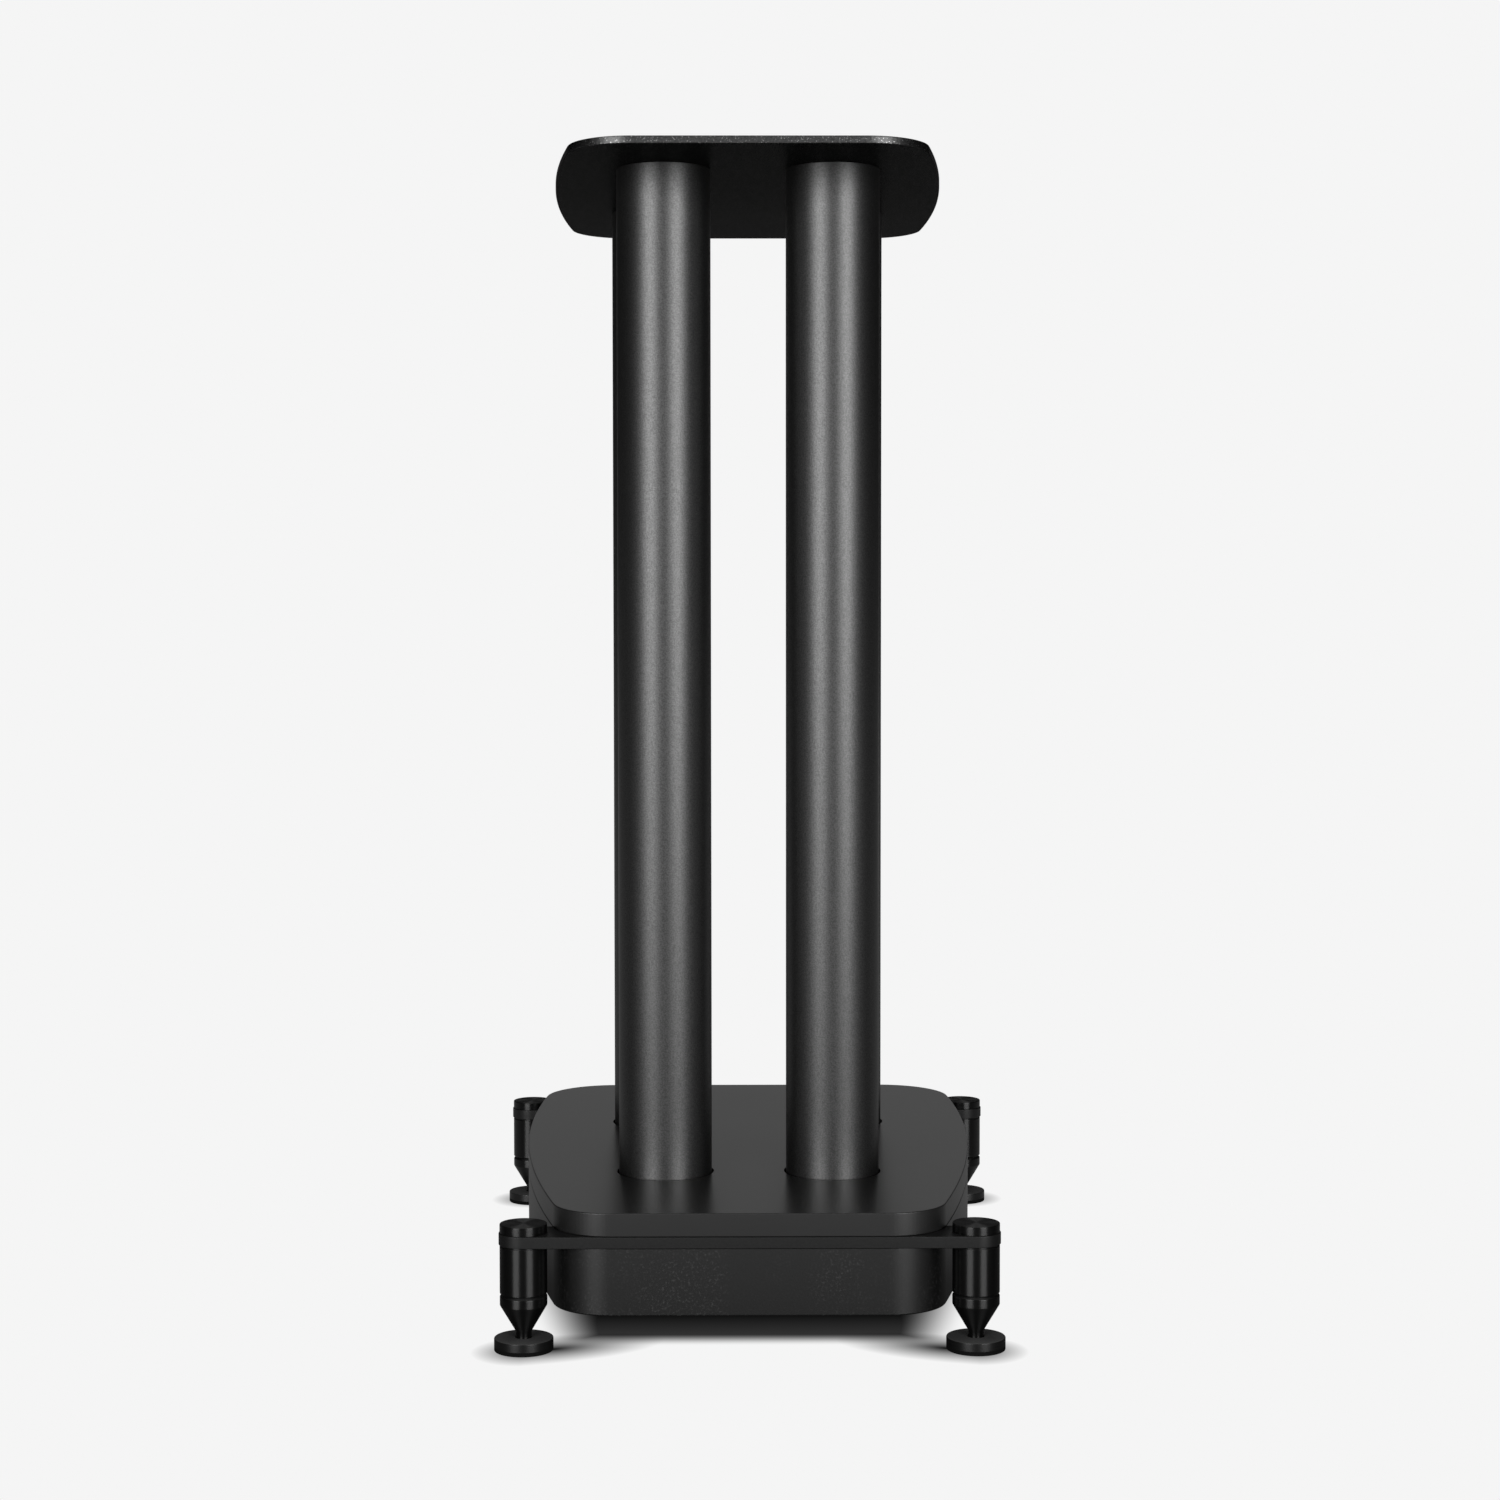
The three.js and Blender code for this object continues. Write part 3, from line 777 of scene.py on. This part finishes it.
class STAND_OT_plinth(StandOperator):
    """Build the plinth block, rebated for the bars and bored for the bolts"""

    bl_idname = "stand.plinth"
    bl_label = "Plinth"

    def execute(self, context):
        scene = context.scene
        sizes = scene.stand_deck
        plinth = bowed_plate("plinth", sizes, sizes.plinth_edge_radius)
        for row in ROWS:
            combine(plinth, self.rebate(scene.stand_bars, row))
        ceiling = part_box("plinth")[0].z + sizes.counterbore_depth
        head = sizes.counterbore_radius
        bolt = scene.stand_fasteners.bolt_radius + scene.stand_fasteners.hole_clearance
        step = ((head, ceiling), (bolt, ceiling))
        for station in STATIONS:
            centre = centre_of(f"column_{station}")
            cut_hole(plinth, "plinth", centre, head, bolt, FASTENER_STEPS, *step)
        finish_piece(plinth, "stand", "plinth", plinth_paint(scene.stand_finishes))
        return {"FINISHED"}

    def rebate(self, sizes, row):
        """A block that cuts the ledge for one bar out of the top edge."""
        low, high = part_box(f"{row}_bar")
        middle = (low.y + high.y) / 2
        outward = math.copysign(1.0, middle)
        y = middle + outward * (OVERRUN - sizes.rebate_clearance) / 2
        width = high.y - low.y + sizes.rebate_clearance + OVERRUN
        height = high.z - low.z + OVERRUN
        z = low.z - sizes.bed_clearance + height / 2
        select_nothing()
        bpy.ops.mesh.primitive_cube_add(size=1.0, location=(0.0, y, z))
        block = bpy.context.active_object
        block.scale = (size_of("plinth").x + 2 * OVERRUN, width, height)
        bpy.ops.object.transform_apply()
        return block


class STAND_OT_bars(StandOperator):
    """Build the two flat bars with round ends that carry the feet"""

    bl_idname = "stand.bars"
    bl_label = "Outrigger Bars"

    def execute(self, context):
        scene = context.scene
        coat = bar_coat(scene.stand_finishes)
        for row in ROWS:
            finish_piece(self.bar(scene, row), "stand", f"{row}_bar", coat)
        return {"FINISHED"}

    def bar(self, scene, row):
        node = f"{row}_bar"
        low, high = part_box(node)
        middle = (low.y + high.y) / 2
        half = centre_of(f"foot_cap_{row}_right").x
        obj = start_wire(f"{node}_look", (half, low.y, low.z))
        for side in (1, -1):
            draw_arc((side * half, middle, 0.0), math.pi, FOOT_STEPS // 2)
            draw_line((-2 * side * half, 0.0, 0.0))
        fill_and_raise(high.z - low.z)
        round_edges(obj, at_height(low.z, high.z), scene.stand_bars.edge_radius)
        hole = scene.stand_feet.spigot_hole_radius
        for side in ("left", "right"):
            foot = centre_of(f"foot_cap_{row}_{side}")
            cut_hole(obj, node, foot, hole, hole, FOOT_STEPS)
            cut_countersink(obj, node, f"bar_screw_{row}_{side}", scene.stand_fasteners)
        return obj


class STAND_OT_columns(StandOperator):
    """Build the four round columns"""

    bl_idname = "stand.columns"
    bl_label = "Columns"

    def execute(self, context):
        scene = context.scene
        sizes = scene.stand_columns
        low, high, outer = turned_size("column")
        section = ring_section(outer - sizes.wall, outer, low, high)
        rounded = [(outer, end, sizes.edge_radius) for end in (low, high)]
        tube = turned_piece("column", section, rounded, COLUMN_STEPS)
        coat = column_coat(scene.stand_finishes)
        finish_at_stations(tube, "column", "stand", coat)
        return {"FINISHED"}


class STAND_OT_feet(StandOperator):
    """Build the caps and housings, which are clamped to the bars"""

    bl_idname = "stand.feet"
    bl_label = "Caps and Housings"

    def execute(self, context):
        scene = context.scene
        finish = anodised_black(scene.stand_finishes)
        for part, shape in (("foot_cap", self.cap), ("foot_housing", self.housing)):
            obj = turned_piece(part, *shape(scene.stand_feet, *turned_size(part)), FOOT_STEPS)
            finish_at_stations(obj, part, "stand", finish)
        return {"FINISHED"}

    def cap(self, sizes, low, high, radius):
        hole = sizes.spigot_hole_radius
        ceiling = low + sizes.cap_recess
        rounded = [(radius, high, sizes.edge_radius), (radius, low, sizes.edge_radius / 3)]
        return stepped_section(ceiling, (hole, low), (radius, high)), rounded

    def housing(self, sizes, low, high, radius):
        shoulder = low + sizes.housing_length
        relief = shoulder - sizes.relief_height
        bore_end = low + sizes.bore_depth
        bore = (sizes.bore_radius, low)
        neck = (sizes.relief_radius, shoulder)
        spigot = (sizes.spigot_radius, high)
        rounded = [(radius, low, sizes.edge_radius), (radius, relief, sizes.edge_radius / 2)]
        return stepped_section(bore_end, bore, (radius, relief), neck, spigot), rounded


class STAND_OT_spikes(StandOperator):
    """Build the spikes with their threaded studs"""

    bl_idname = "stand.spikes"
    bl_label = "Spikes"

    def execute(self, context):
        scene = context.scene
        sizes = scene.stand_feet
        low, high, radius = turned_size("spike")
        neck, chamfer, edge = sizes.neck_radius, sizes.tip_chamfer, sizes.edge_radius
        collar_top = high - sizes.stud_length
        collar_low = collar_top - sizes.collar_height
        section = [
            (0.0, low),
            (neck - chamfer, low),
            (neck, low + chamfer),
            (neck, collar_low - sizes.cone_height),
            (radius, collar_low),
            (radius, collar_top),
            (0.0, collar_top),
        ]
        rounded = [(radius, collar_top, edge), (radius, collar_low, edge / 2)]
        spike = turned_piece("spike", section, rounded, FOOT_STEPS)
        combine(spike, self.stud(sizes, centre_of(f"spike_{FIRST}"), collar_top, high), "UNION")
        finish = anodised_black(scene.stand_finishes)
        finish_at_stations(spike, "spike", "foot_spike_{}", finish)
        return {"FINISHED"}

    def stud(self, sizes, centre, collar_top, top):
        """A screw thread: one tooth of the profile carried round and up, then cut off flat at
        both ends. Crest and root are flat for an eighth of the pitch."""
        pitch = sizes.thread_pitch
        root = sizes.stud_radius - sizes.thread_depth
        bottom = collar_top - pitch / 2
        turns = math.ceil((top - bottom) / pitch) + 2
        flat = pitch / 8
        rise = pitch / 2 - flat
        obj = start_wire("stud", (centre.x + root, centre.y, bottom - pitch))
        draw_line((0.0, 0.0, flat))
        draw_line((sizes.thread_depth, 0.0, rise))
        draw_line((0.0, 0.0, flat))
        draw_line((-sizes.thread_depth, 0.0, rise))
        select_points()
        bpy.ops.transform.translate(value=(-centre.x, -centre.y, 0.0))
        leave_edit_mode()
        steps = {"steps": FASTENER_STEPS, "render_steps": FASTENER_STEPS}
        apply_modifier(obj, "SCREW", angle=math.tau, screw_offset=pitch, iterations=turns, **steps)
        only(obj)
        bpy.ops.object.mode_set(mode="EDIT")
        bpy.ops.mesh.select_mode(type="VERT")
        weld()
        bpy.ops.transform.translate(value=(centre.x, centre.y, 0.0))
        for height, up in ((top, 1.0), (bottom, -1.0)):
            select_points()
            bpy.ops.mesh.bisect(
                plane_co=(centre.x, centre.y, height),
                plane_no=(0.0, 0.0, up),
                use_fill=True,
                clear_outer=True,
            )
        weld()
        leave_edit_mode()
        return obj


class STAND_OT_pads(StandOperator):
    """Build the dimpled floor pads and the rubber discs under them"""

    bl_idname = "stand.pads"
    bl_label = "Floor Pads"

    def execute(self, context):
        scene = context.scene
        blasted = blasted_black(scene.stand_finishes)
        rubber = moulded_rubber(scene.stand_finishes)
        for part, shape, slot, material in (
            ("pad", self.pad, "pad_coat", blasted),
            ("pad_rubber", self.disc, "black_rubber", rubber),
        ):
            obj = turned_piece(part, *shape(scene.stand_feet, *turned_size(part)), FOOT_STEPS)
            finish_at_stations(obj, part, "foot_pad_{}", material)
        return {"FINISHED"}

    def pad(self, sizes, low, high, radius):
        dimple, edge = sizes.dimple_radius, sizes.edge_radius
        seat = high - sizes.dimple_depth
        section = stepped_section(low, (radius, high), (dimple, seat))
        return section, [(radius, high, edge), (dimple, high, edge / 2)]

    def disc(self, sizes, low, high, radius):
        return stepped_section(low, (radius, high)), [(radius, low, sizes.rubber_edge)]


class STAND_OT_fasteners(StandOperator):
    """Build the screws, bolts and washers that show, and finish those that don't"""

    bl_idname = "stand.fasteners"
    bl_label = "Fasteners"

    def execute(self, context):
        scene = context.scene
        steel = black_oxide_steel(scene.stand_finishes)
        makers = (("top_screw", self.screw), ("base_bolt", self.bolt), ("washer", self.washer))
        for part, make in makers:
            obj = make(scene.stand_fasteners, part, *turned_size(part))
            finish_at_stations(obj, part, "stand", steel)
        aluminium = turned_aluminium(scene.stand_finishes)
        for station in STATIONS:
            self.carry_over(f"bar_screw_{station}", steel)
            self.carry_over(f"top_insert_{station}", aluminium)
            self.carry_over(f"bottom_insert_{station}", aluminium)
        return {"FINISHED"}

    def carry_over(self, node, material):
        """Keeps a solid as it is, and only gives it its material."""
        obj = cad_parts[node]
        obj.data.materials.clear()
        obj.data.materials.append(material)

    def screw(self, sizes, part, low, high, head):
        shank = sizes.screw_radius
        neck = high - (head - shank)
        section = [(0.0, low), (shank, low), (shank, neck), (head, high), (0.0, high)]
        obj = turned_piece(part, section, [(head, high, sizes.edge_radius / 2)])
        socket_low = high - sizes.screw_socket_depth
        cut_socket(obj, part, sizes.screw_socket, socket_low, high + OVERRUN)
        return obj

    def bolt(self, sizes, part, low, high, head):
        shank = sizes.bolt_radius
        bearing = low + sizes.bolt_head_height
        section = stepped_section(low, (head, bearing), (shank, high))
        obj = turned_piece(part, section, [(head, low, 2 * sizes.edge_radius)])
        socket_high = low + sizes.bolt_socket_depth
        cut_socket(obj, part, sizes.bolt_socket, low - OVERRUN, socket_high)
        return obj

    def washer(self, sizes, part, low, high, outer):
        inner = sizes.bolt_radius + sizes.hole_clearance
        section = ring_section(inner, outer, low, high)
        return turned_piece(part, section, [(outer, low, sizes.edge_radius)])


# --- studio

# Metres. Each pair of depths says where along the stand the floor's reflection starts to
# grow and where it is full.
FLOOR_SIZE = 24.0
FRONT_BOUNCE_DEPTHS = (-0.22, -0.4)
BACK_BOUNCE_DEPTHS = (-0.05, 0.15)

SOFTBOX_AZIMUTH = math.radians(31.9)  # from straight ahead
SOFTBOX_DISTANCE = 3.98
SOFTBOX_HEIGHT = 1.02
SOFTBOX_SIZE = (1.91, 2.05)
OVERHEAD_HEIGHT = 2.2
OVERHEAD_SIZE = (1.4, 1.4)
PANEL_PLACE = (0.0, 2.0, 0.75)
PANEL_SIZE = (1.5, 1.5)

SENSOR_WIDTH = 36.0  # millimetres, as the lens
LENS = 62.49
CLIPPING = (0.05, 60.0)
CAMERA_PLACE = (-0.0066165, -1.4781, 0.3608)
CAMERA_DOWN = 0.0439  # radians, as the next two
CAMERA_TURN = 0.0053  # to the right
CAMERA_ROLL = -0.0009


class STAND_OT_studio(StandOperator):
    """Set out the pale floor, the soft lights, the background and the camera"""

    bl_idname = "stand.studio"
    bl_label = "Floor, Lights and Camera"

    def execute(self, context):
        scene = context.scene
        self.floor(scene.stand_deck, scene.stand_studio)
        self.background(scene)
        self.lights(scene.stand_studio)
        self.camera(scene)
        scene.view_settings.view_transform = "Standard"
        return {"FINISHED"}

    def floor(self, deck, studio):
        """A plain floor, dark under the block and softly shaded round the pads. The finishes
        reflect it as bright in front and behind, and dark beside the stand. From below it
        isn't there."""
        select_nothing()
        bpy.ops.mesh.primitive_plane_add(size=FLOOR_SIZE, location=(0.0, 0.0, 0.0))
        floor = bpy.context.active_object
        floor.name = "studio_floor"
        material, add, place = new_material("pale_floor")
        across = add("SeparateXYZ", [place])
        depth = across.node.outputs["Y"]
        sideways = add("Math", [across], operation="ABSOLUTE")
        side = studio.side_bounce
        ahead = add("MapRange", [depth, *FRONT_BOUNCE_DEPTHS, side, studio.front_bounce])
        behind = add("MapRange", [depth, *BACK_BOUNCE_DEPTHS, side, studio.back_bounce])
        bounce = add("Math", [ahead, behind], operation="MAXIMUM")
        to_camera = add("LightPath", output="Is Camera Ray")
        strength = add("MapRange", [to_camera, 0.0, 1.0, bounce, 1.0])
        shade = self.block_shade(add, sideways, depth, deck, studio)
        for row in ROWS:
            pad = centre_of(f"pad_rubber_{row}_right")
            pad_shade = self.pad_shade(add, sideways, depth, pad, studio)
            shade = add("Math", [shade, pad_shade], operation="MULTIPLY")
        colour = add("Mix", [shade, BLACK, studio.floor], data_type="RGBA")
        lit = add("Emission", [colour, strength])
        from_below = add("NewGeometry", output="Backfacing")
        both = add("MixShader", [from_below, lit, add("BsdfTransparent")])
        add("OutputMaterial", [both])
        material.cycles.emission_sampling = "NONE"
        floor.data.materials.append(material)

    def block_shade(self, add, sideways, depth, deck, studio):
        """How bright the floor is round the block: 0 inside its bowed outline, drawn in from
        the sides and ends, and 1 outside it past a soft rim, which is wider at the sides."""
        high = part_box("plinth")[1]
        inset, sharpness = high.x - studio.side_inset, studio.side_sharpness
        from_widest = add("Math", [depth, deck.widest_y], operation="SUBTRACT")
        square = add("Math", [from_widest, from_widest], operation="MULTIPLY")
        reach = [square, 0.5 / deck.side_radius, sideways]
        reach = add("Math", reach, operation="MULTIPLY_ADD")
        past_side = add("Math", [reach, inset], operation="SUBTRACT")
        past_side = add("Math", [past_side, sharpness], operation="MULTIPLY")
        past_end = add("Math", [depth], operation="ABSOLUTE")
        past_end = add("Math", [past_end, high.y - studio.end_inset], operation="SUBTRACT")
        past_both = add("CombineXYZ", [past_side, past_end])
        outside = add("VectorMath", [past_both, (0.0, 0.0, 0.0)], operation="MAXIMUM")
        outside = add("VectorMath", [outside], operation="LENGTH")
        inside = add("Math", [past_side, past_end], operation="MAXIMUM")
        inside = add("Math", [inside, 0.0], operation="MINIMUM")
        distance = add("Math", [outside, inside], operation="ADD")
        soft = studio.shadow_softness
        rim = add("MapRange", [distance, -soft, soft], interpolation_type="SMOOTHSTEP")
        rim = add("Math", [rim, studio.shadow_power], operation="POWER")
        depths = (-studio.end_light_reach, -studio.end_light_inset)
        end_light = add("MapRange", [past_end, *depths, 0.0, studio.end_light])
        return add("Math", [rim, end_light], operation="MAXIMUM")

    def pad_shade(self, add, sideways, depth, pad, studio):
        """How bright the floor is round a pad: 0 under it and 1 past a soft shade, which is
        drawn out inwards and turns towards the block."""
        length, slope = studio.pad_shade_length, studio.pad_shade_stretch
        outward = add("Math", [sideways, pad.x], operation="SUBTRACT")
        inner = add("Math", [outward, -slope, -slope * length], operation="MULTIPLY_ADD")
        aside = add("Math", [outward, inner], operation="MAXIMUM")
        aside = add("Math", [aside, 0.0], operation="MAXIMUM")
        away = math.copysign(1.0, pad.y)
        start = abs(pad.y) + studio.pad_shade_shift
        beyond = add("Math", [depth, away, -start], operation="MULTIPLY_ADD")
        inward = add("Math", [outward, 0.0], operation="MINIMUM")
        turn = [inward, -studio.pad_shade_turn, beyond]
        beyond = add("Math", turn, operation="MULTIPLY_ADD")
        step = add("CombineXYZ", [aside, beyond])
        distance = add("VectorMath", [step], operation="LENGTH")
        light = add("MapRange", [distance, 0.0, studio.pad_shade_reach])
        return add("Math", [light, studio.pad_shade_power], operation="POWER")

    def background(self, scene):
        scene.world = bpy.data.worlds.new("studio_background")
        add = empty_nodes(scene.world)
        seen = add("Background", [scene.stand_studio.floor])
        reflected = add("Background", [scene.stand_studio.surroundings])
        to_camera = add("LightPath", output="Is Camera Ray")
        add("OutputWorld", [add("MixShader", [to_camera, reflected, seen])])

    def lights(self, studio):
        """Two tall softboxes in front with a dark gap between them, a soft light overhead and
        a dim panel behind, which the deck mirrors."""
        for side in (-1, 1):
            x = side * SOFTBOX_DISTANCE * math.sin(SOFTBOX_AZIMUTH)
            y = -SOFTBOX_DISTANCE * math.cos(SOFTBOX_AZIMUTH)
            place = (x, y, SOFTBOX_HEIGHT)
            name = f"softbox_{side}"
            self.soft_light(name, place, SOFTBOX_HEIGHT, SOFTBOX_SIZE, studio.softbox_power)
        overhead = (0.0, 0.0, OVERHEAD_HEIGHT)
        self.soft_light("overhead", overhead, 0.0, OVERHEAD_SIZE, studio.top_power)
        self.soft_light("behind", PANEL_PLACE, PANEL_PLACE[2], PANEL_SIZE, studio.back_power)

    def soft_light(self, name, place, target_height, size, power):
        """A rectangular light that looks at the stand's axis at a height."""
        data = bpy.data.lights.new(name, "AREA")
        data.shape = "RECTANGLE"
        data.size, data.size_y = size
        data.energy = power
        lamp = bpy.data.objects.new(name, data)
        bpy.context.scene.collection.objects.link(lamp)
        lamp.location = place
        aim = Vector((0.0, 0.0, target_height)) - Vector(place)
        lamp.rotation_euler = aim.to_track_quat("-Z", "Y").to_euler()
        lamp.visible_camera = False

    def camera(self, scene):
        """The photograph's viewpoint: almost level, 1.5 m from the middle of the stand."""
        data = bpy.data.cameras.new("camera")
        data.sensor_width = SENSOR_WIDTH
        data.lens = LENS
        data.clip_start, data.clip_end = CLIPPING
        camera = bpy.data.objects.new("camera", data)
        scene.collection.objects.link(camera)
        turn = Matrix.Rotation(-CAMERA_TURN, 4, "Z")
        tilt = Matrix.Rotation(math.pi / 2 - CAMERA_DOWN, 4, "X")
        roll = Matrix.Rotation(CAMERA_ROLL, 4, "Z")
        camera.matrix_world = Matrix.Translation(CAMERA_PLACE) @ turn @ tilt @ roll
        scene.camera = camera


# --- panel and registration


OPERATORS = (
    STAND_OT_studio,
    STAND_OT_top_plate,
    STAND_OT_columns,
    STAND_OT_deck,
    STAND_OT_plinth,
    STAND_OT_bars,
    STAND_OT_feet,
    STAND_OT_spikes,
    STAND_OT_pads,
    STAND_OT_fasteners,
)


class STAND_PT_panel(bpy.types.Panel):
    """Lists the operators that build the stand, and their settings"""

    bl_idname = "STAND_PT_panel"
    bl_label = "Speaker Stand"
    bl_space_type = "VIEW_3D"
    bl_region_type = "UI"
    bl_category = "Speaker Stand"

    def draw(self, context):
        for operator in OPERATORS:
            self.layout.operator(operator.bl_idname)
        for name in SETTINGS:
            box = self.layout.box()
            group = getattr(context.scene, name)
            for setting in group.bl_rna.properties.keys():
                if setting not in ("rna_type", "name"):
                    box.prop(group, setting)


CLASSES = (*SETTINGS.values(), *OPERATORS, STAND_PT_panel)


def register():
    for cls in CLASSES:
        bpy.utils.register_class(cls)
    for name, group in SETTINGS.items():
        setattr(bpy.types.Scene, name, PointerProperty(type=group))


def unregister():
    for name in SETTINGS:
        delattr(bpy.types.Scene, name)
    for cls in reversed(CLASSES):
        bpy.utils.unregister_class(cls)


def main():
    register()
    for operator in OPERATORS:
        category, name = operator.bl_idname.split(".")
        result = getattr(getattr(bpy.ops, category), name)()
        if result != {"FINISHED"}:
            raise RuntimeError(f"{operator.bl_idname} did not finish")
    leave_edit_mode()


if __name__ == "__main__":
    main()
